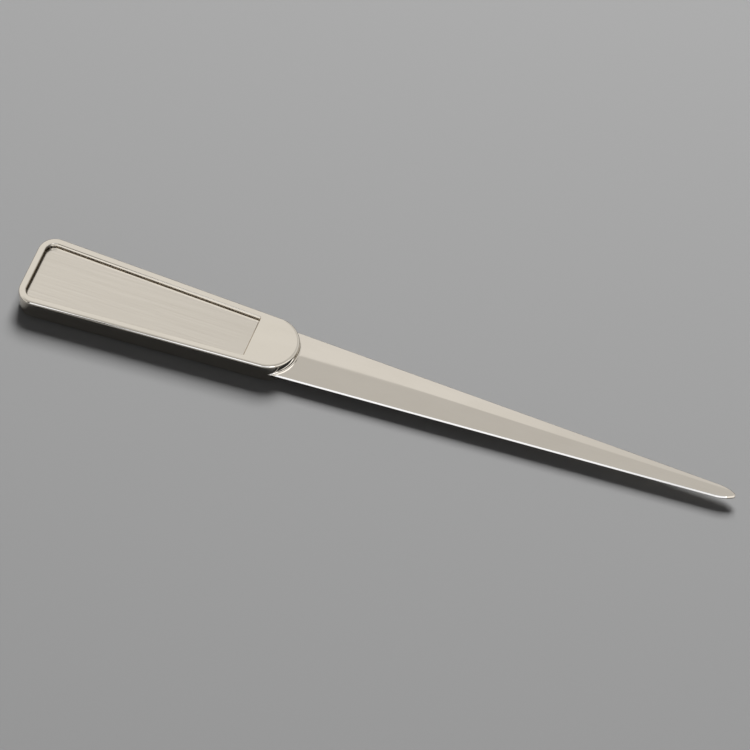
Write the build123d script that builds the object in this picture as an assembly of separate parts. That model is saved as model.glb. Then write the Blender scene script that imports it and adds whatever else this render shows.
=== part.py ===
from build123d import *
import math
import os

os.makedirs("parts", exist_ok=True)

# Driving sizes of the outside, in millimetres
overall_length = 216.0
handle_length = 83.5
butt_width = 24.6
head_radius = 8.85
handle_thickness = 7.6
butt_corner_radius = 5.2
top_edge_radius = 0.8
bottom_edge_radius = 0.9

# Driving sizes of the plate and its recess
rim_width = 2.15
head_land = 14.0
plate_sink = 1.7
plate_thickness = 0.6
plate_edge_break = 0.1
plate_side_clearance = 0.32
plate_front_clearance = 0.5
least_corner_radius = 0.3
recess_back_corner = 2.8
recess_front_corner = 0.35
recess_lip_radius = 0.22
tape_thickness = 0.2
tape_inset = 0.8

# Driving sizes of the blade
blade_root_width = 16.1
blade_drop = 0.3
blade_edge_thickness = 0.9
blade_crest_rise = 1.55
crest_radius = 8.0
nose_width = 4.42
nose_length = 5.4
nose_radius = 0.85
shoulder_gap = 0.03
shoulder_lip_radius = 0.4

# Driving sizes of the hidden tang and its screws
tang_width = 8.0
tang_length = 39.0
tang_corner_radius = 1.6
tang_side_clearance = 0.1
pocket_side_clearance = 0.5
tang_ceiling_clearance = 0.08
tang_end_clearance = 0.4
tang_inset = 0.08
pocket_front_step = 0.6
screw_shank_diameter = 2.5
screw_head_diameter = 4.4
screw_hole_clearance = 0.15
screw_fit_clearance = 0.02
screw_floor = 0.7
screw_end_clearance = 0.15
screw_end_bevel = 0.2
drive_slot_width = 0.6
drive_slot_depth = 0.5

# Heights above the resting face
blade_mid = handle_thickness / 2 - blade_drop
plate_top = handle_thickness - plate_sink
plate_bottom = plate_top - plate_thickness
recess_floor = plate_bottom - tape_thickness
blade_half_at_tang = blade_edge_thickness / 2 + blade_crest_rise * (1 - tang_width / blade_root_width)
tang_half = min(blade_half_at_tang, recess_floor - blade_mid) - tang_inset
tang_top = blade_mid + tang_half
tang_bottom = blade_mid - tang_half

# Distances along the opener, measured from the butt
head_centre = handle_length - head_radius
recess_front = handle_length - head_land
nose_start = overall_length - nose_length
tang_back = handle_length - tang_length
screw_pitch = (recess_front - tang_back) / 2
screw_spots = (tang_back + screw_pitch / 2, tang_back + screw_pitch * 3 / 2)


def along(distance):
    """X of a point that lies this far from the butt."""
    return distance - overall_length / 2


# Lean of the handle's sides, which leave the butt corners and run tangent to the round head
corner_reach = math.hypot(butt_width / 2, head_centre)
handle_lean = math.acos(head_radius / corner_reach) - math.atan2(head_centre, butt_width / 2)

# Taper of the blade's sides, half width lost per unit of length
blade_slope = (blade_root_width - nose_width) / 2 / (nose_start - handle_length)


def handle_half(distance):
    """Half the handle's width this far from the butt."""
    return butt_width / 2 - distance * math.tan(handle_lean)


def blade_half(distance):
    """Half the blade's width this far from the butt."""
    return blade_root_width / 2 - (distance - handle_length) * blade_slope


def slab(shape, low, high):
    """A plan shape raised between two heights."""
    return extrude(Pos(0, 0, low) * shape, high - low)


def handle_outline():
    """Plan shape of the handle: two straight sides that run into the round head."""
    touch_x = along(head_centre + head_radius * math.sin(handle_lean))
    touch_y = head_radius * math.cos(handle_lean)
    butt_half = butt_width / 2
    sides = Polyline((touch_x, -touch_y), (along(0), -butt_half), (along(0), butt_half), (touch_x, touch_y))
    end = ThreePointArc((touch_x, touch_y), (along(handle_length), 0), (touch_x, -touch_y))
    return make_face([sides, end])


def blade_outline(start):
    """Plan shape of the blade: straight sides, then two arcs that close on a small round nose."""
    touch = Vector(along(nose_start), nose_width / 2)
    inward = Vector(-blade_slope, -1).normalized()
    nose = Vector(along(overall_length - nose_radius), 0)
    span = touch - nose
    arc_radius = (nose_radius**2 - span.dot(span)) / (2 * (span.dot(inward) + nose_radius))
    join = nose + (nose - touch - inward * arc_radius).normalized() * nose_radius
    far = [
        Line((along(start), blade_half(start)), touch),
        TangentArc(touch, join, tangent=(1, -blade_slope)),
    ]
    tip = ThreePointArc(join, (along(overall_length), 0), (join.X, -join.Y))
    back = Line((along(start), -blade_half(start)), (along(start), blade_half(start)))
    return make_face(far + [tip, back] + [mirror(curve, Plane.XZ) for curve in far])


def recess_shape(inset, front_inset):
    """Plan shape of the plate recess, drawn smaller by inset, and by front_inset at the head end."""
    back = rim_width + inset
    front = recess_front - front_inset
    side = (rim_width + inset) / math.cos(handle_lean)
    back_half = handle_half(back) - side
    front_half = handle_half(front) - side
    low_side = [(along(back), -back_half), (along(front), -front_half)]
    high_side = [(along(front), front_half), (along(back), back_half)]
    shape = make_face(Polyline(*low_side, *high_side, close=True))
    back_radius = max(recess_back_corner - inset, least_corner_radius)
    front_radius = max(recess_front_corner - inset, least_corner_radius)
    shape = fillet(shape.vertices().sort_by(Axis.X)[:2], back_radius)
    return fillet(shape.vertices().sort_by(Axis.X)[-2:], front_radius)


def tang_shape(grow, back, front):
    """Plan shape of the tang between two distances, its two back corners rounded."""
    shape = Pos(along((back + front) / 2), 0) * Rectangle(front - back, tang_width + 2 * grow)
    return fillet(shape.vertices().sort_by(Axis.X)[:2], tang_corner_radius + grow)


def at_screws(solid):
    """A solid drawn on the Z axis, set at each screw spot."""
    return [Pos(along(spot), 0) * solid for spot in screw_spots]


# Cast handle: outline, rounded edges, plate recess, tang pocket and slot, blind screw holes
outline = handle_outline()
outline = fillet(outline.vertices().sort_by(Axis.X)[:2], butt_corner_radius)
handle = slab(outline, 0, handle_thickness)
handle = fillet(handle.faces().sort_by(Axis.Z)[-1].edges(), top_edge_radius)
handle = fillet(handle.faces().sort_by(Axis.Z)[0].edges(), bottom_edge_radius)
handle -= slab(recess_shape(0, 0), recess_floor, handle_thickness + 1)
rim_face = handle.faces().sort_by(Axis.Z)[-1]
handle = fillet(rim_face.inner_wires()[0].edges(), recess_lip_radius)
pocket_back = tang_back - tang_end_clearance
pocket_front = recess_front - pocket_front_step
tang_pocket = tang_shape(pocket_side_clearance, pocket_back, pocket_front)
handle -= slab(tang_pocket, tang_bottom, recess_floor + 0.1)
tang_slot = tang_shape(tang_side_clearance, pocket_front - tang_width, handle_length + 1)
handle -= slab(tang_slot, tang_bottom, tang_top + tang_ceiling_clearance)
screw_hole = slab(Circle(screw_shank_diameter / 2), screw_floor, tang_bottom + 0.1)
for hole in at_screws(screw_hole):
    handle -= hole

# Blade: a long rhombic spike with a soft crest, cut to plan, then its edges bevelled
flank_slope = blade_crest_rise / (blade_root_width / 2)


def blade_section(distance):
    """Rhombus whose flanks pass through the blade's edges at this distance."""
    tall = blade_edge_thickness / 2 + flank_slope * blade_half(distance)
    wide = tall / flank_slope
    across = Plane(origin=(along(distance), 0, blade_mid), x_dir=(0, 1, 0), z_dir=(1, 0, 0))
    return across * make_face(Polyline((-wide, 0), (0, -tall), (wide, 0), (0, tall), close=True))


spike = loft([blade_section(head_centre), blade_section(overall_length + 2)], ruled=True)
crests = spike.edges().filter_by(lambda e: abs(e.center().Y) < 0.001)
spike = fillet(crests, crest_radius)
blade = spike & slab(blade_outline(head_centre), 0, handle_thickness)
outer_walls = blade.faces().filter_by(lambda f: abs(f.normal_at().Z) < 0.01).sort_by(Axis.X)[1:]
outer_edges = outer_walls.edges().filter_by(lambda e: e.center().X > along(head_centre) + 0.1)
outer_edges = outer_edges.filter_by(lambda e: abs(e.tangent_at(0.5).Z) < 0.9)
edge_bevel = blade_edge_thickness * 0.4
blade = chamfer(outer_edges, edge_bevel)

# Shoulder: the blade's back end is hollowed to fit the handle's round end, with a small lip round it
post_radius = head_radius + shoulder_gap
post = Pos(along(head_centre), 0, blade_mid) * Rot(0, 0, 180) * Cylinder(post_radius, handle_thickness)
joined = post + blade


def on_post(edge):
    """True for an edge where the blade meets the upright side of the round end."""
    spot = edge.position_at(0.5)
    reach = math.hypot(spot.X - along(head_centre), spot.Y)
    return abs(reach - post_radius) < 0.001 and abs(spot.Z - blade_mid) < handle_thickness * 0.45


# On a blade wider than the round end the lip has only the flank between the end and the bevel
lip_radius = shoulder_lip_radius
lip_room = blade_half(head_centre) - edge_bevel - post_radius
if lip_room > 0:
    lip_radius = min(lip_radius, lip_room * 0.8)
meeting = joined.edges().filter_by(on_post).filter_by(lambda e: e.center().X > along(head_centre))
joined = fillet(meeting, lip_radius)
blade = joined - post

# Tang: a flat tongue behind the shoulder with two countersunk holes
blade += slab(tang_shape(0, tang_back, handle_length + 0.5), tang_bottom, tang_top)
head_height = (screw_head_diameter - screw_shank_diameter) / 2
seat = Cone(screw_shank_diameter / 2, screw_head_diameter / 2, head_height)
seat = Pos(0, 0, tang_top - head_height / 2) * seat
through = slab(Circle(screw_shank_diameter / 2 + screw_hole_clearance), tang_bottom - 1, tang_top + 1)
for hole in at_screws(through) + at_screws(seat):
    blade -= hole

# Two slotted countersunk screws that hold the tang down on the pocket floor
shank_radius = screw_shank_diameter / 2 - screw_fit_clearance
screw_low = screw_floor + screw_end_clearance
shank = slab(Circle(shank_radius), screw_low, tang_top - head_height / 2)
shank = chamfer(shank.faces().sort_by(Axis.Z)[0].edges(), screw_end_bevel)
head = Cone(shank_radius, screw_head_diameter / 2 - screw_fit_clearance, head_height)
screw = shank + Pos(0, 0, tang_top - head_height / 2) * head
drive_slot = Box(screw_head_diameter + 1, drive_slot_width, 2 * drive_slot_depth)
screw -= Pos(0, 0, tang_top) * drive_slot
screws = Compound(children=at_screws(screw))

# Engraving plate and the tape pad that holds it on the recess floor
plate = slab(recess_shape(plate_side_clearance, plate_front_clearance), plate_bottom, plate_top)
plate = chamfer(plate.faces().sort_by(Axis.Z)[-1].edges(), plate_edge_break)
tape_shape = recess_shape(plate_side_clearance + tape_inset, plate_front_clearance + tape_inset)
tape = slab(tape_shape, recess_floor, plate_bottom)

pieces = {
    "handle_body": handle,
    "blade": blade,
    "tang_screws": screws,
    "plate_tape": tape,
    "engraving_plate": plate,
}
for name, piece in pieces.items():
    export_step(piece, f"parts/{name}.step")
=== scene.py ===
import bpy
import math
import numpy as np
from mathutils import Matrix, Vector


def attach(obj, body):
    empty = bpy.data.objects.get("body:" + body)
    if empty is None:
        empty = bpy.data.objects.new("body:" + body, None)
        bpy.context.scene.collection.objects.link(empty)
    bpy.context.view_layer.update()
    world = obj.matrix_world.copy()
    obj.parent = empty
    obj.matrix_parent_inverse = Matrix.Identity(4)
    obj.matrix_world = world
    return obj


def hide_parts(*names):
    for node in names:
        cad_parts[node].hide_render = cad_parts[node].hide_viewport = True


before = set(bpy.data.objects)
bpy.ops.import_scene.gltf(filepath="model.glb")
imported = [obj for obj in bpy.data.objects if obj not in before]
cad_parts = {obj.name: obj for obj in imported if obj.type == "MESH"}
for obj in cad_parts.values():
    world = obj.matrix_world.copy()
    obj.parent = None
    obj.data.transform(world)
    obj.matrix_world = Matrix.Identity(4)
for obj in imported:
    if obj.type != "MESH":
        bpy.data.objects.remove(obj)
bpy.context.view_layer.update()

scene = bpy.context.scene
scene.view_settings.view_transform = "Standard"

# Millimetres in the scene's unit
metre = 1000.0

# Sizes of the opener in millimetres, as in the part's source
overall_length = 216.0
handle_length = 83.5
butt_width = 24.6
head_radius = 8.85
handle_thickness = 7.6
butt_corner_radius = 5.2
top_edge_radius = 0.8
bottom_edge_radius = 0.9
rim_width = 2.15
head_land = 14.0
recess_back_corner = 2.8
recess_front_corner = 0.35
least_corner_radius = 0.3
recess_lip_radius = 0.22
recess_floor = 5.1
plate_bottom = 5.3
plate_top = 5.9
plate_edge_break = 0.1
plate_side_clearance = 0.32
plate_front_clearance = 0.5
blade_root_width = 16.1
blade_mid = 3.5
blade_edge_thickness = 0.9
blade_crest_rise = 1.55
bevel_share = 0.4
bevel_top_radius = 0.2
bevel_low_radius = 0.1
crest_radius = 8.0
nose_width = 4.42
nose_length = 5.4
nose_radius = 0.85
shoulder_gap = 0.03
shoulder_lip_radius = 0.4
tang_width = 8.0
tang_length = 39.0
tang_corner_radius = 1.6
tang_inset = 0.08


def along(distance):
    """X of a place that lies this far from the butt."""
    return distance - overall_length / 2


# Sizes that follow from them
recess_front = handle_length - head_land
head_centre = handle_length - head_radius
head_x = along(head_centre)
corner_reach = math.hypot(butt_width / 2, head_centre)
handle_lean = math.acos(head_radius / corner_reach) - math.atan2(head_centre, butt_width / 2)
near_turn = -math.pi / 2 + handle_lean
far_turn = math.pi / 2 - handle_lean
nose_start = overall_length - nose_length
blade_slope = (blade_root_width - nose_width) / 2 / (nose_start - handle_length)
blade_lean = math.atan(blade_slope)
flank_slope = blade_crest_rise / (blade_root_width / 2)
flank_lean = math.atan(flank_slope)
crest_half = crest_radius * math.sin(flank_lean)
edge_bevel = blade_edge_thickness * bevel_share
shoulder_radius = head_radius + shoulder_gap
tang_back = handle_length - tang_length
flank_at_tang = blade_crest_rise * (1 - tang_width / blade_root_width)
tang_half = blade_edge_thickness / 2 + flank_at_tang - tang_inset
screw_pitch = (recess_front - tang_back) / 2
screws_middle = along(tang_back + screw_pitch)

# Steps of the handle's and the plate's meshes
corner_steps = 28
side_steps = 48
butt_steps = 12
front_corner_steps = 10
front_steps = 60
low_edge_rings = 11
top_edge_rings = 25
lip_rings = 13

# Steps of the blade's mesh
crest_steps = 12
flank_steps = 5
flank_end = crest_steps + flank_steps
crest_share = 0.8
bend_steps = 7
nose_arc_stations = 40
nose_tip_stations = 24
nose_last_angle = math.radians(1.0)
shoulder_stations = 14
straight_stations = 65
station_crowding = 1.3
tang_corner_rings = 9
tang_side_end = 0.1


def ring_piece(name, rings, normals, node, slot, material):
    """Mesh piece from a stack of closed rings, put in place of a CAD node.

    Each ring is joined to the next by quads. Two rings in a row with the same points make a
    crease: they share their vertices and only the normals change. The first and last rings are
    closed by one flat face each. Points are in millimetres.
    """
    count = rings.shape[1]
    same_place = 1e-9
    crease = np.abs(np.diff(rings, axis=0)).max(axis=(1, 2)) < same_place
    vertex_row = np.concatenate([[0], np.cumsum(~crease)])
    points = rings[np.concatenate([[True], ~crease])].reshape(-1, 3) / metre
    spans = np.flatnonzero(~crease)
    here = np.arange(count)
    ahead = (here + 1) % count
    low, high = spans[:, None], spans[:, None] + 1
    corners = ((low, here), (low, ahead), (high, ahead), (high, here))
    quads = np.stack([vertex_row[r] * count + c for r, c in corners], axis=-1).reshape(-1, 4)
    quad_normals = np.stack([normals[r, c] for r, c in corners], axis=2).reshape(-1, 3)
    end_faces = [here[::-1].tolist(), (vertex_row[-1] * count + here).tolist()]
    mesh = bpy.data.meshes.new(name)
    mesh.from_pydata(points.tolist(), [], quads.tolist() + end_faces)
    mesh.polygons.foreach_set("use_smooth", np.ones(len(mesh.polygons), dtype=bool))
    loop_normals = np.concatenate([quad_normals, normals[0][::-1], normals[-1]])
    loop_normals /= np.linalg.norm(loop_normals, axis=1, keepdims=True)
    mesh.normals_split_custom_set(loop_normals.tolist())
    mesh.materials.append(material)
    piece = bpy.data.objects.new(name, mesh)
    scene.collection.objects.link(piece)
    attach(piece, "root")
    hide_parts(node)


def rounded_outline(centres, radii, turns, arc_steps, line_steps):
    """Closed outline of round corners and straight lines, as plan points and outward normals.

    A corner is its centre plus its radius times (cos a, sin a), with a stepped evenly over its
    turn. The line after it is stepped evenly to the next corner's start and keeps the normal it
    left with.
    """
    points, normals = [], []
    for k, centre in enumerate(centres):
        angle = np.linspace(*turns[k], arc_steps[k] + 1)
        out = np.stack([np.cos(angle), np.sin(angle)], axis=-1)
        arc = np.array(centre) + radii[k] * out
        ahead = (k + 1) % len(centres)
        opening = turns[ahead][0]
        first_out = np.array([math.cos(opening), math.sin(opening)])
        start = np.array(centres[ahead]) + radii[ahead] * first_out
        share = np.linspace(0, 1, line_steps[k] + 1)[1:-1, None]
        points += [arc, arc[-1] + share * (start - arc[-1])]
        normals += [out, np.repeat(out[-1:], line_steps[k] - 1, axis=0)]
    return np.concatenate(points), np.concatenate(normals)


def side_half(distance, inset):
    """Half the width between the handle's side lines, each moved inwards by inset."""
    return butt_width / 2 - distance * math.tan(handle_lean) - inset / math.cos(handle_lean)


def handle_outline():
    """Plan outline of the handle: two butt corners and the round head, with straight sides."""
    r = butt_corner_radius
    y = side_half(r, r)
    return rounded_outline(
        ((along(r), -y), (head_x, 0), (along(r), y)),
        (r, head_radius, r),
        ((-math.pi, near_turn), (near_turn, far_turn), (far_turn, math.pi)),
        (corner_steps, 2 * front_corner_steps + front_steps, corner_steps),
        (side_steps, side_steps, butt_steps),
    )


def recess_outline(inset, front_inset):
    """Plan outline of the plate recess, smaller by inset, and by front_inset at the head end."""
    back_r = max(recess_back_corner - inset, least_corner_radius)
    front_r = max(recess_front_corner - inset, least_corner_radius)
    back = rim_width + inset + back_r
    front = recess_front - front_inset - front_r
    back_y = side_half(back, rim_width + inset + back_r)
    front_y = side_half(front, rim_width + inset + front_r)
    back_x, front_x = along(back), along(front)
    return rounded_outline(
        ((back_x, -back_y), (front_x, -front_y), (front_x, front_y), (back_x, back_y)),
        (back_r, front_r, front_r, back_r),
        ((-math.pi, near_turn), (near_turn, 0), (0, far_turn), (far_turn, math.pi)),
        (corner_steps, front_corner_steps, front_corner_steps, corner_steps),
        (side_steps, front_steps, side_steps, butt_steps),
    )


def outline_rings(outline, insets, heights, elevations):
    """Rings that follow one outline: each is moved inwards by its inset and set at its height.

    The normal of a ring leans up from the outline's own normal by its elevation in degrees, so
    past 90 degrees it points back into the opening.
    """
    plan, out = outline
    rise = np.radians(np.asarray(elevations, dtype=float))[:, None, None]
    place = plan[None] - np.asarray(insets, dtype=float)[:, None, None] * out[None]
    column = place.shape[:2] + (1,)
    height = np.broadcast_to(np.asarray(heights, dtype=float)[:, None, None], column)
    up = np.broadcast_to(np.sin(rise), column)
    points = np.concatenate([place, height], axis=2)
    return points, np.concatenate([np.cos(rise) * out[None], up], axis=2)


def handle_rings():
    """Outside of the handle from the resting face up over the rim and down into the recess.

    A quarter circle rounds the bottom edge, another the top edge, and a third the recess's lip.
    """
    counts = (low_edge_rings, top_edge_rings, lip_rings)
    low, top, lip = (np.linspace(0, math.pi / 2, count) for count in counts)
    low_r, top_r, lip_r = bottom_edge_radius, top_edge_radius, recess_lip_radius
    outside = outline_rings(
        handle_outline(),
        np.concatenate([low_r * (1 - np.sin(low)), top_r * (1 - np.cos(top))]),
        np.concatenate([low_r * (1 - np.cos(low)), handle_thickness - top_r * (1 - np.sin(top))]),
        np.concatenate([np.degrees(low) - 90, np.degrees(top)]),
    )
    inside = outline_rings(
        recess_outline(0, 0),
        np.concatenate([-lip_r * (1 - np.sin(lip)), [0, 0]]),
        np.concatenate([handle_thickness - lip_r * (1 - np.cos(lip)), [recess_floor] * 2]),
        np.concatenate([90 + np.degrees(lip), [180, 90]]),
    )
    return [np.concatenate(pair) for pair in zip(outside, inside)]


def plate_rings():
    """Engraving plate: flat bottom, upright edge, narrow bevel and flat top, creased between."""
    b = plate_edge_break
    return outline_rings(
        recess_outline(plate_side_clearance, plate_front_clearance),
        (0, 0, 0, 0, b, b),
        (plate_bottom, plate_bottom, plate_top - b, plate_top - b, plate_top, plate_top),
        (-90, 0, 0, 45, 45, 90),
    )


def roof(x, y):
    """Height of the blade's top above its middle, and the two slopes of that height.

    Two flat flanks fall from the crest at one slope; between the lines where a circle of the
    crest's radius touches them, the circle takes their place. The crest sinks as the blade
    narrows.
    """
    half = blade_root_width / 2 - (x - along(handle_length)) * blade_slope
    tall = blade_edge_thickness / 2 + flank_slope * half
    inner = np.minimum(np.abs(y), crest_half)
    outer = np.maximum(np.abs(y), crest_half)
    circle = np.sqrt(crest_radius**2 - inner**2)
    height = tall - flank_slope * outer - crest_radius * math.cos(flank_lean) + circle
    across = np.where(np.abs(y) < crest_half, -y / circle, -flank_slope * np.sign(y))
    return height, np.full_like(height, -flank_slope * blade_slope), across


def bend(start, radius, turns):
    """Arc in a section that leaves start along turns' first angle and ends along its last one.

    Angles are measured down from level. Its points are start plus radius times (sin t - sin t0
    outwards, cos t - cos t0 upwards), and its normals are (sin t outwards, cos t upwards).
    """
    sine, cosine = np.sin(turns), np.cos(turns)
    out = start[0][:, None] + radius * (sine - sine[:, :1])
    up = start[1][:, None] + radius * (cosine - cosine[:, :1])
    return out, up, sine, cosine


def edge_profile(wall, out):
    """Bevelled edge of the blade at places on its outline: the flank's end, then the edge itself.

    The bevel takes the same length off the flank and off the upright wall. A small arc softens its
    upper corner and a smaller one its lower corner; each leaves its corner's two faces at its
    radius times the tangent of half its turn from the corner.
    """
    height, slope_x, slope_y = roof(wall[:, 0], wall[:, 1])
    run = edge_bevel * np.cos(np.arctan(-(slope_x * out[:, 0] + slope_y * out[:, 1])))
    top = wall - run[:, None] * out
    top_height, slope_x, slope_y = roof(top[:, 0], top[:, 1])
    lean = np.arctan(-(slope_x * out[:, 0] + slope_y * out[:, 1]))
    fall = np.arctan2(top_height - height + edge_bevel, run)
    share = np.linspace(0, 1, bend_steps + 1)[None]
    back = bevel_top_radius * np.tan((fall - lean) / 2)
    start = (-run - back * np.cos(lean), top_height + back * np.sin(lean))
    upper = bend(start, bevel_top_radius, lean[:, None] + (fall - lean)[:, None] * share)
    back = bevel_low_radius * np.tan((math.pi / 2 - fall) / 2)
    start = (-back * np.cos(fall), height - edge_bevel + back * np.sin(fall))
    lower = bend(start, bevel_low_radius, fall[:, None] + (math.pi / 2 - fall)[:, None] * share)
    aside, up, sine, cosine = (np.concatenate(pair, axis=1) for pair in zip(upper, lower))
    plan = wall[:, None] + aside[..., None] * out[:, None]
    normal = np.concatenate([sine[..., None] * out[:, None], cosine[..., None]], axis=2)
    return plan[:, 0], np.concatenate([plan, up[..., None]], axis=2)[:, 1:], normal[:, 1:]


def flank_columns(touch):
    """Points of the roof from the crest out to where the edge begins, and their normals.

    Columns near the crest keep their distance from it while the blade is wide enough; the rest
    share the remaining width evenly. The height and slopes come from the roof.
    """
    reach = touch[:, 1:]
    core = np.minimum(crest_half, crest_share * reach)
    inner = core * np.linspace(0, 1, crest_steps + 1)[None]
    outer = core + (reach - core) * np.linspace(0, 1, flank_steps + 1)[None, 1:]
    y = np.concatenate([inner, outer], axis=1)
    x = np.broadcast_to(touch[:, :1], y.shape)
    return on_roof(x, y)


def on_roof(x, y):
    """Points and unit normals on the roof above these plan places."""
    height, slope_x, slope_y = roof(x, y)
    normal = np.stack([-slope_x, -slope_y, np.ones_like(height)], axis=2)
    normal /= np.linalg.norm(normal, axis=2, keepdims=True)
    return np.stack([x, y, height], axis=2), normal


def nose_quarter():
    """Far upper quarter of the blade's last part, station by station.

    In plan the side runs into an arc that touches it, and the arc into a small round nose; the
    stations follow the two arcs by angle and stop just short of the axis.
    """
    side_out = np.array([math.sin(blade_lean), math.cos(blade_lean)])
    touch = np.array([along(nose_start), nose_width / 2])
    nose = np.array([along(overall_length - nose_radius), 0.0])
    span = touch - nose
    arc_radius = (nose_radius**2 - span @ span) / (2 * (nose_radius - span @ side_out))
    arc_centre = touch - arc_radius * side_out
    join = math.atan2(*(nose - arc_centre)[::-1])
    arc = np.linspace(math.pi / 2 - blade_lean, join, nose_arc_stations)
    tip = np.linspace(join, nose_last_angle, nose_tip_stations)[1:]
    angle = np.concatenate([arc, tip])
    out = np.stack([np.cos(angle), np.sin(angle)], axis=1)
    on_arc = (np.arange(len(angle)) < len(arc))[:, None]
    centre = np.where(on_arc, arc_centre, nose)
    radius = np.where(on_arc, arc_radius, nose_radius)
    edge_start, edge, edge_normal = edge_profile(centre + radius * out, out)
    flank, flank_normal = flank_columns(edge_start)
    rings = np.concatenate([flank, edge], axis=1)
    return rings, np.concatenate([flank_normal, edge_normal], axis=1)


def straight_quarter(last, last_normal):
    """Far upper quarter of the blade from the shoulder to the start of the nose.

    Every column is a straight line in plan that ends at the nose's first station and starts where
    it meets the shoulder's circle. The first stations climb a hollow lip: at a distance g from the
    circle the skin is lifted by r - sqrt(r^2 - (r - g)^2), and its normal turns towards the
    blade's length.
    """
    core = min(crest_half, crest_share * last[flank_end, 1])
    reach = last[flank_end, 1] - core
    share = np.clip((last[:, 1] - core) / reach, 0, 1)
    drift = -blade_slope * share
    base = last[:, 1] - drift * last[:, 0]
    a = 1 + drift**2
    b = head_x - base * drift
    start_x = (b + np.sqrt(b**2 - a * (head_x**2 + base**2 - shoulder_radius**2))) / a

    def skin(x):
        """Points and normals of all columns at these X places."""
        y = base + drift * x
        place, normal = on_roof(x, y)
        edge = np.arange(len(base)) > flank_end
        place[:, edge, 2] = last[edge, 2]
        normal[:, edge] = last_normal[edge]
        return place, normal

    r = shoulder_lip_radius
    g = r * (1 - np.cos(np.linspace(0, math.pi / 2, shoulder_stations)))[:, None]
    toward = (start_x - head_x) / shoulder_radius
    place, normal = skin(start_x + g / toward)
    aside = (base + drift * start_x) / shoulder_radius
    around = np.stack([toward, aside, np.zeros_like(base)], axis=1)
    facing = (normal * around).sum(axis=2)
    apart = np.sqrt(1 - facing**2)
    lift = (r - np.sqrt(np.maximum(r**2 - (r - g) ** 2, 0))) * apart
    place = place + normal * lift[..., None]
    place[..., 0] = head_x + np.sqrt((shoulder_radius + g) ** 2 - place[..., 1] ** 2)
    turn = ((r - g) / r)[..., None]
    upright = (normal - facing[..., None] * around) / apart[..., None]
    lip_normal = turn * around + np.sqrt(1 - turn**2) * upright
    leave = start_x + r / toward
    stations = np.linspace(0, 1, straight_stations)[1:-1, None] ** station_crowding
    run, run_normal = skin(leave + stations * (last[:, 0] - leave))
    return np.concatenate([place, run]), np.concatenate([lip_normal, run_normal])


def tang_quarter(columns):
    """Far upper quarter of the flat tang behind the shoulder, its back corners rounded in plan.

    Columns spread evenly over the top, then down the side. The corners are quarter circles, and
    the last ring lies on the shoulder's circle.
    """
    top = flank_end + 1
    share = np.concatenate([np.linspace(0, 1, top), np.ones(columns - top)])
    fall = np.concatenate([np.ones(top), np.linspace(1, tang_side_end, columns - top + 1)[1:]])
    turn = np.linspace(0, math.pi / 2, tang_corner_rings)
    half = tang_width / 2 - tang_corner_radius * (1 - np.sin(turn))
    x = along(tang_back) + tang_corner_radius * (1 - np.cos(turn))
    y = half[:, None] * share[None]
    rings = np.stack(np.broadcast_arrays(x[:, None], y, tang_half * fall), axis=2)
    front = rings[-1].copy()
    front[:, 0] = head_x + np.sqrt(shoulder_radius**2 - front[:, 1] ** 2)
    side = np.where((np.arange(columns) < top)[:, None], (0.0, 0.0, 1.0), (0.0, 1.0, 0.0))
    rings = np.concatenate([rings[:1], rings, front[None]])
    normals = np.broadcast_to(side, rings.shape).copy()
    normals[0] = (-1.0, 0.0, 0.0)
    return rings, normals


def whole_section(quarter):
    """All round the blade from its far upper quarter, by mirroring across and below its middle."""
    near = quarter * (1, -1, 1)
    near_below, far_below = near * (1, 1, -1), quarter * (1, 1, -1)
    parts = [quarter[:, ::-1], near[:, 1:], near_below[:, ::-1], far_below[:, 1:]]
    return np.concatenate(parts, axis=1)


def blade_rings():
    """Blade from the tang's back end, over the hollow shoulder and the flanks to the nose."""
    nose, nose_normal = nose_quarter()
    straight, straight_normal = straight_quarter(nose[0], nose_normal[0])
    tang, tang_normal = tang_quarter(nose.shape[1])
    shoulder = np.stack([tang[-1], straight[0]])
    inward = (head_x, 0, 0) - shoulder
    inward[..., 2] = 0
    rings = np.concatenate([tang, shoulder, straight, nose])
    normals = np.concatenate([tang_normal, inward / shoulder_radius, straight_normal, nose_normal])
    return whole_section(rings) + (0, 0, blade_mid), whole_section(normals)


# Shader nodes and finishes


def add_node(tree, kind, inputs=(), **settings):
    """Node of this kind with its settings; its inputs are pairs of socket and value or source."""
    made = tree.nodes.new(kind)
    for name, value in settings.items():
        setattr(made, name, value)
    for key, value in inputs:
        if isinstance(value, bpy.types.NodeSocket):
            tree.links.new(value, made.inputs[key])
        else:
            made.inputs[key].default_value = value
    return made


def math_node(tree, operation, *values):
    """Result of one sum on numbers or sockets."""
    return add_node(tree, "ShaderNodeMath", enumerate(values), operation=operation).outputs[0]


def spread(tree, value, span, onto):
    """Value stretched from one span onto another and held inside it."""
    pairs = enumerate((value, *span, *onto))
    return add_node(tree, "ShaderNodeMapRange", pairs, clamp=True).outputs[0]


def stretched_noise(tree, place, repeats, detail):
    """Noise whose repeats per metre differ along X, Y and Z."""
    pairs = (("Vector", place), ("Scale", repeats))
    mapped = add_node(tree, "ShaderNodeMapping", pairs).outputs[0]
    pairs = (("Vector", mapped), ("Scale", 1.0), ("Detail", detail), ("Roughness", 0.55))
    return add_node(tree, "ShaderNodeTexNoise", pairs).outputs[0]


def blend_colours(tree, share, first, second):
    """Colour that goes from the first to the second as share goes from 0 to 1."""
    # A Mix node has its colours at inputs 6 and 7 and at output 2
    pairs = ((0, share), (6, first), (7, second))
    return add_node(tree, "ShaderNodeMix", pairs, data_type="RGBA").outputs[2]


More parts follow.
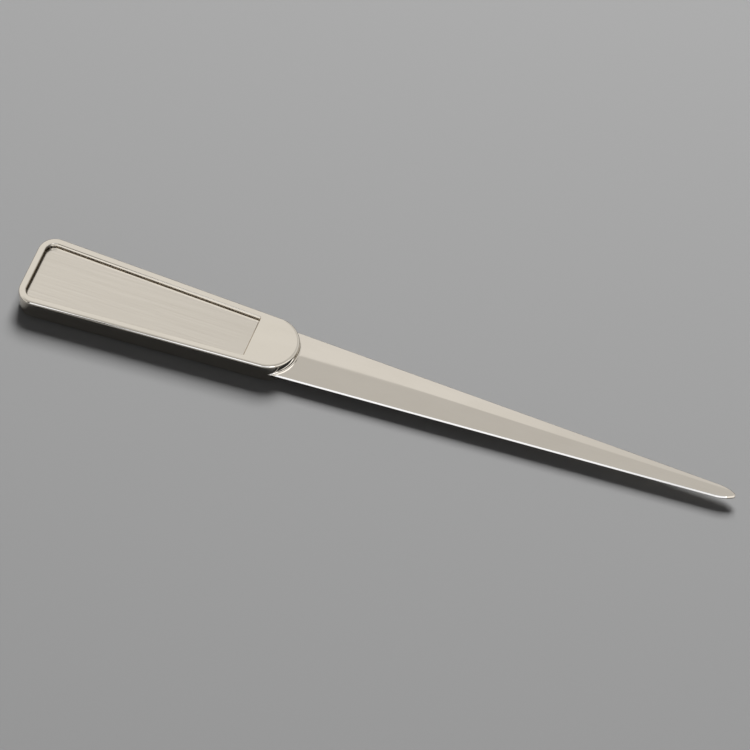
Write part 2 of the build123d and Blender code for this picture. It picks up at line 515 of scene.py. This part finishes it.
def finish_group(name):
    """Empty shader group for a finish, from a place and two colours to three results."""
    tree = bpy.data.node_groups.new(name, "ShaderNodeTree")
    vector, colour, number = (f"NodeSocket{kind}" for kind in ("Vector", "Color", "Float"))
    takes = (("Place", vector), ("Bright", colour), ("Dull", colour))
    gives = (("Tone", colour), ("Roughness", number), ("Height", number))
    for in_out, sockets in (("INPUT", takes), ("OUTPUT", gives)):
        for label, kind in sockets:
            tree.interface.new_socket(label, in_out=in_out, socket_type=kind)
    return tree, tree.nodes.new("NodeGroupInput").outputs


def close_group(tree, given, share, roughness, height):
    """Join a finish group's results to its outputs; share picks between its two colours."""
    tone = blend_colours(tree, share, given["Bright"], given["Dull"])
    results = (("Tone", tone), ("Roughness", roughness), ("Height", height))
    add_node(tree, "NodeGroupOutput", results)
    return tree


def polish_marks():
    """Buffed metal: slow haze, faint hairlines lengthwise, and a swell that bends reflections."""
    haze_share, line_share = 0.75, 0.25
    tree, given = finish_group("polish_marks")
    haze = stretched_noise(tree, given["Place"], repeats=(60, 150, 150), detail=3)
    swell = stretched_noise(tree, given["Place"], repeats=(38, 120, 120), detail=1)
    line = stretched_noise(tree, given["Place"], repeats=(30, 1900, 400), detail=3)
    haze = spread(tree, haze, (0.3, 0.7), (0, haze_share))
    line = spread(tree, line, (0.5, 0.8), (0, 1))
    worn = math_node(tree, "MULTIPLY_ADD", line, line_share, haze)
    roughness = spread(tree, worn, (0, 1), (0.04, 0.075))
    return close_group(tree, given, worn, roughness, swell)


def brushed_grain():
    """Brushed metal: coarse and fine streaks along the length, with a few deeper strokes."""
    fine_share, coarse_share = 0.6, 0.4
    streak_span, streak_tone = (0.3, 0.7), 0.8
    stroke_tone, stroke_depth = 0.25, 0.3
    tree, given = finish_group("brushed_grain")
    coarse = stretched_noise(tree, given["Place"], repeats=(22, 1500, 1500), detail=2)
    fine = stretched_noise(tree, given["Place"], repeats=(60, 5200, 5200), detail=3)
    stroke = stretched_noise(tree, given["Place"], repeats=(14, 3100, 3100), detail=1)
    stroke = spread(tree, stroke, (0.6, 0.75), (0, 1))
    coarse = math_node(tree, "MULTIPLY", coarse, coarse_share)
    streak = math_node(tree, "MULTIPLY_ADD", fine, fine_share, coarse)
    tone = spread(tree, streak, streak_span, (0, streak_tone))
    share = math_node(tree, "MULTIPLY_ADD", stroke, stroke_tone, tone)
    roughness = spread(tree, streak, streak_span, (0.16, 0.24))
    height = math_node(tree, "MULTIPLY_ADD", stroke, -stroke_depth, streak)
    return close_group(tree, given, share, roughness, height)


def turned_rings():
    """Turned steel: fine rings round the axis of the nearer screw, uneven like a tool's feed."""
    feed_phase, wobble_phase = 42000, 7
    tree, given = finish_group("turned_rings")
    x, y, _ = add_node(tree, "ShaderNodeSeparateXYZ", ((0, given["Place"]),)).outputs
    middle = math_node(tree, "ABSOLUTE", math_node(tree, "SUBTRACT", x, screws_middle / metre))
    aside = math_node(tree, "SUBTRACT", middle, screw_pitch / 2 / metre)
    square = math_node(tree, "MULTIPLY_ADD", aside, aside, math_node(tree, "MULTIPLY", y, y))
    radius = math_node(tree, "SQRT", square)
    wobble = stretched_noise(tree, given["Place"], repeats=(900, 900, 900), detail=3)
    wander = math_node(tree, "MULTIPLY", wobble, wobble_phase)
    phase = math_node(tree, "MULTIPLY_ADD", radius, feed_phase, wander)
    ring = spread(tree, math_node(tree, "SINE", phase), (-1, 1), (0, 1))
    roughness = spread(tree, ring, (0, 1), (0.24, 0.36))
    return close_group(tree, given, math_node(tree, "MULTIPLY", ring, wobble), roughness, ring)


def tape_fibres():
    """Mounting tape: short pressed fibres in two directions and a slow unevenness."""
    cloud_share, fibre_share = 0.5, 0.5
    tree, given = finish_group("tape_fibres")
    lengthwise = stretched_noise(tree, given["Place"], repeats=(500, 3200, 900), detail=3)
    crosswise = stretched_noise(tree, given["Place"], repeats=(3200, 500, 900), detail=3)
    cloud = stretched_noise(tree, given["Place"], repeats=(180, 180, 180), detail=2)
    fibre = math_node(tree, "MAXIMUM", lengthwise, crosswise)
    tone = spread(tree, fibre, (0.45, 0.75), (0, fibre_share))
    share = math_node(tree, "MULTIPLY_ADD", cloud, cloud_share, tone)
    roughness = spread(tree, fibre, (0.4, 0.8), (0.62, 0.8))
    return close_group(tree, given, share, roughness, fibre)


def finish(name, group, bright, dull, metallic, relief):
    """Material from a finish group; relief is the height of its marks in metres."""
    material = bpy.data.materials.new(name)
    material.use_nodes = True
    tree = material.node_tree
    shader = tree.nodes["Principled BSDF"]
    place = add_node(tree, "ShaderNodeTexCoord").outputs["Object"]
    marks = add_node(tree, "ShaderNodeGroup", node_tree=group)
    tree.links.new(place, marks.inputs["Place"])
    marks.inputs["Bright"].default_value = (*bright, 1)
    marks.inputs["Dull"].default_value = (*dull, 1)
    pairs = (("Distance", relief), ("Height", marks.outputs["Height"]))
    bump = add_node(tree, "ShaderNodeBump", pairs)
    shader.inputs["Metallic"].default_value = metallic
    tree.links.new(marks.outputs["Tone"], shader.inputs["Base Color"])
    tree.links.new(marks.outputs["Roughness"], shader.inputs["Roughness"])
    tree.links.new(bump.outputs["Normal"], shader.inputs["Normal"])
    return material


# Materials, each with the two colours of its marks
buffed, brushed, turned, fibrous = polish_marks(), brushed_grain(), turned_rings(), tape_fibres()
polished_nickel = finish(
    "polished_nickel", buffed, bright=(0.67, 0.62, 0.54), dull=(0.645, 0.595, 0.515),
    metallic=1.0, relief=1.2e-5,
)
polished_blade = finish(
    "polished_blade", buffed, bright=(0.665, 0.615, 0.54), dull=(0.635, 0.585, 0.51),
    metallic=1.0, relief=1.2e-5,
)
brushed_plate = finish(
    "brushed_plate", brushed, bright=(0.67, 0.62, 0.545), dull=(0.62, 0.57, 0.495),
    metallic=1.0, relief=5e-6,
)
plain_steel = finish(
    "plain_steel", turned, bright=(0.56, 0.56, 0.57), dull=(0.42, 0.42, 0.43),
    metallic=1.0, relief=6e-6,
)
adhesive_tape = finish(
    "adhesive_tape", fibrous, bright=(0.78, 0.76, 0.70), dull=(0.64, 0.62, 0.56),
    metallic=0.0, relief=4e-5,
)

# Pieces that show, and the finishes of the two hidden ones
ring_piece("nickel_handle", *handle_rings(), "handle_body", "polished_nickel", polished_nickel)
ring_piece("ridged_blade", *blade_rings(), "blade", "polished_blade", polished_blade)
ring_piece("brushed_plate", *plate_rings(), "engraving_plate", "brushed_plate", brushed_plate)
bpy.data.objects["tang_screws"].material_slots[0].material = plain_steel
bpy.data.objects["plate_tape"].material_slots[0].material = adhesive_tape

# Camera at the photograph's angle, aimed at the middle of the resting face
view_azimuth = math.radians(20.716)
view_elevation = math.radians(56.767)
view_distance = 1.6


def out_towards(azimuth, elevation):
    """Unit vector out from the origin; azimuth 0 is the near side and elevation 0 the floor."""
    level = math.cos(elevation)
    return Vector((math.sin(azimuth) * level, -math.cos(azimuth) * level, math.sin(elevation)))


def stand(thing, place, facing):
    """Put a camera or lamp at a place, turned to face along a direction."""
    scene.collection.objects.link(thing)
    thing.location = place
    thing.rotation_euler = facing.to_track_quat("-Z", "Y").to_euler()


camera_data = bpy.data.cameras.new("photo_camera")
camera_data.sensor_width = 36.0
camera_data.lens = 267.69
camera_data.shift_x = -0.00379
camera_data.shift_y = 0.02015
camera_data.clip_end = 20.0
camera = bpy.data.objects.new("photo_camera", camera_data)
view_out = out_towards(view_azimuth, view_elevation)
stand(camera, view_out * view_distance, -view_out)
scene.camera = camera

# Plain floor at the height of the resting face
floor_half = 3.0
floor_grey = 0.45
floor_signs = ((-1, -1), (1, -1), (1, 1), (-1, 1))
floor_corners = [(x * floor_half, y * floor_half, 0) for x, y in floor_signs]
floor_mesh = bpy.data.meshes.new("floor")
floor_mesh.from_pydata(floor_corners, [], [(0, 1, 2, 3)])
floor = bpy.data.objects.new("floor", floor_mesh)
scene.collection.objects.link(floor)
floor_paint = bpy.data.materials.new("floor_paint")
floor_paint.use_nodes = True
floor_shader = floor_paint.node_tree.nodes["Principled BSDF"]
floor_shader.inputs["Base Color"].default_value = (floor_grey, floor_grey, floor_grey, 1)
floor_shader.inputs["Roughness"].default_value = 0.9
floor_mesh.materials.append(floor_paint)

# Studio tent that the metal mirrors: each stop of a wall is a sine of the elevation and a radiance
fill_light = 0.05
back_wall = ((0.0, 0.8), (0.2, 1.0), (0.85, 1.0), (0.885, 0.72))
back_side = ((0.0, 0.7), (0.2, 0.85), (0.85, 0.85), (0.885, 0.73))
front_roof = ((0.93, 0.5), (0.965, 0.72))
left_wall = ((0.0, 0.8), (0.5, 0.8), (0.58, 0.5), *front_roof)
middle_wall = ((0.5, 0.06), (0.58, 0.5), *front_roof)
right_wall = ((0.05, 0.06), (0.06, 1.3), (0.7, 1.3), (0.74, 0.5), *front_roof)

# Walls for what is mirrored twice, named by the recess's and the shoulder's faces that show them
far_wall_twice = ((0.56, 0.06), (0.62, 2.0), (0.93, 2.0), (0.965, 0.72))
corner_twice = ((0.79, 0.06), (0.83, 2.4), (0.87, 2.4), (0.885, 2.9), (0.94, 2.9), (0.965, 0.72))
lip_twice = ((0.86, 0.06), (0.88, 2.9), (0.94, 2.9), (0.965, 0.72))
butt_wall_twice = ((0.0, 0.5), (0.15, 0.75), (0.7, 0.75), (0.78, 0.12))

# Borders between the walls: how far a direction reaches along an axis where one starts and is full
tip_border = (-0.2, -0.168)
side_border = (-0.165, -0.13)
butt_wall_border = (0.0, 0.1)
left_border = (0.4, 0.5)
right_border = (0.3, 0.4)
corner_border = (-0.5, -0.44)
far_border = (0.08, 0.14)
camera_border = (-0.15, 0.15)
near_border = (-0.1, 0.1)

# Tints, axes, and limits for ray depths, which are whole numbers
plain_white = (1.0, 1.0, 1.0)
cool_white = (0.9, 0.97, 1.11)
rightwards, leftwards, forwards, upwards = (1, 0, 0), (-1, 0, 0), (0, -1, 0), (0, 0, 1)
below_one, below_two = 0.5, 1.5


def tent_wall(tree, sine, stops, tint=plain_white):
    """Tinted light over the sine of the elevation, each stop a place and a radiance."""
    made = add_node(tree, "ShaderNodeValToRGB", ((0, sine),))
    while len(made.color_ramp.elements) < len(stops):
        made.color_ramp.elements.new(position=0.5)
    for element, (place, radiance) in zip(made.color_ramp.elements, stops):
        element.position = place
        element.color = [radiance * part for part in tint] + [1]
    return made.outputs[0]


def reach_share(tree, vector, axis, border):
    """Reach of a vector along an axis, eased from 0 to 1 between the border's two measures."""
    pairs = ((0, vector), (1, axis))
    reach = add_node(tree, "ShaderNodeVectorMath", pairs, operation="DOT_PRODUCT")
    pairs = enumerate((reach.outputs["Value"], *border))
    return add_node(tree, "ShaderNodeMapRange", pairs, interpolation_type="SMOOTHSTEP").outputs[0]


world = bpy.data.worlds.new("studio_tent")
scene.world = world
world.use_nodes = True
tent = world.node_tree
direction = add_node(tent, "ShaderNodeTexCoord").outputs["Generated"]
sine = add_node(tent, "ShaderNodeSeparateXYZ", ((0, direction),)).outputs["Z"]
path = add_node(tent, "ShaderNodeLightPath").outputs
mirrored_twice = math_node(tent, "GREATER_THAN", path["Glossy Depth"], below_two)

# Back half: towards the tip its bright part ends lower, which draws the line of the blade's crest
crest_drop = 0.185
to_tip = reach_share(tent, direction, rightwards, tip_border)
dropped = math_node(tent, "ADD", sine, math_node(tent, "MULTIPLY", to_tip, crest_drop))
back, side = (tent_wall(tent, dropped, stops) for stops in (back_wall, back_side))
back = blend_colours(tent, reach_share(tent, direction, rightwards, side_border), back, side)
to_butt_wall = reach_share(tent, direction, rightwards, butt_wall_border)
to_butt_wall = math_node(tent, "MULTIPLY", to_butt_wall, mirrored_twice)
back = blend_colours(tent, to_butt_wall, back, tent_wall(tent, sine, butt_wall_twice))

# Front half, mirrored once
left, front, right = (
    tent_wall(tent, sine, stops) for stops in (left_wall, middle_wall, right_wall)
)
front = blend_colours(tent, reach_share(tent, direction, leftwards, left_border), front, left)
front = blend_colours(tent, reach_share(tent, direction, rightwards, right_border), front, right)

# Front half, mirrored twice
far_wall, corner, again = (
    tent_wall(tent, sine, stops, cool_white) for stops in (far_wall_twice, corner_twice, lip_twice)
)
again = blend_colours(tent, reach_share(tent, direction, leftwards, corner_border), again, corner)
again = blend_colours(tent, reach_share(tent, direction, leftwards, far_border), again, far_wall)
front = blend_colours(tent, mirrored_twice, front, again)

# Both halves, for the camera and the metal alone; all else gets the fill
to_camera = reach_share(tent, direction, out_towards(view_azimuth, 0), camera_border)
to_near = reach_share(tent, direction, forwards, near_border)
to_front = math_node(tent, "MULTIPLY", to_camera, to_near)
light = blend_colours(tent, to_front, back, front)
seen = math_node(tent, "MAXIMUM", path["Is Camera Ray"], path["Is Glossy Ray"])
undiffused = math_node(tent, "LESS_THAN", path["Diffuse Depth"], below_one)
seen = math_node(tent, "MULTIPLY", seen, undiffused)
shown = blend_colours(tent, seen, (fill_light, fill_light, fill_light, 1), light)
tent.links.new(shown, tent.nodes["Background"].inputs["Color"])


def lamp(name, width, height, radiance, place, facing):
    """Flat lamp of one radiance, at a place and turned to face along a direction."""
    data = bpy.data.lights.new(name, "AREA")
    data.shape = "RECTANGLE"
    data.size, data.size_y = width, height
    data.energy = radiance * math.pi * width * height
    made = bpy.data.objects.new(name, data)
    stand(made, place, facing)
    made.visible_camera = False
    return made


# Key lamp behind the opener, which lays its shadow towards the camera
key_azimuth = math.radians(185)
key_elevation = math.radians(48)
key_distance = 1.6
key_side = 0.7
key_radiance = 17.0
key_place = out_towards(key_azimuth, key_elevation) * key_distance
key = lamp("back_key", key_side, key_side, key_radiance, key_place, -key_place)
key.visible_glossy = False

# Two strip lamps in front draw the near edges' bright lines; they dim low down and straight across
strip_low, strip_high, strip_away = 0.01, 0.47, 0.5
strip_facing = Vector((0, strip_away, 0))
strip_radiance = 1.6
straight_share = 0.72
foot_share = 0.65
aslant_border = (0.05, 0.1)
blade_border = (0.03, 0.09)
foot_border = (0.08, 0.17)
for name, left_end, right_end in (("middle_strip", -0.165, 0.34), ("left_strip", -0.25, -0.19)):
    width, height = right_end - left_end, strip_high - strip_low
    place = ((left_end + right_end) / 2, -strip_away, (strip_low + strip_high) / 2)
    strip = lamp(name, width, height, strip_radiance, place, strip_facing)
    strip.data.color = cool_white
    strip.visible_diffuse = False
    strip.data.use_nodes = True
    glow = strip.data.node_tree
    spot = add_node(glow, "ShaderNodeNewGeometry").outputs
    aslant = reach_share(glow, spot["Incoming"], rightwards, aslant_border)
    past_blade = reach_share(glow, spot["Position"], rightwards, blade_border)
    across = math_node(glow, "MAXIMUM", aslant, past_blade)
    across = spread(glow, across, (0, 1), (straight_share, 1))
    above = reach_share(glow, spot["Position"], upwards, foot_border)
    above = spread(glow, above, (0, 1), (foot_share, 1))
    strength = math_node(glow, "MULTIPLY", across, above)
    depth = add_node(glow, "ShaderNodeLightPath").outputs["Diffuse Depth"]
    undiffused = math_node(glow, "LESS_THAN", depth, below_one)
    strength = math_node(glow, "MULTIPLY", strength, undiffused)
    glow.links.new(strength, glow.nodes["Emission"].inputs["Strength"])
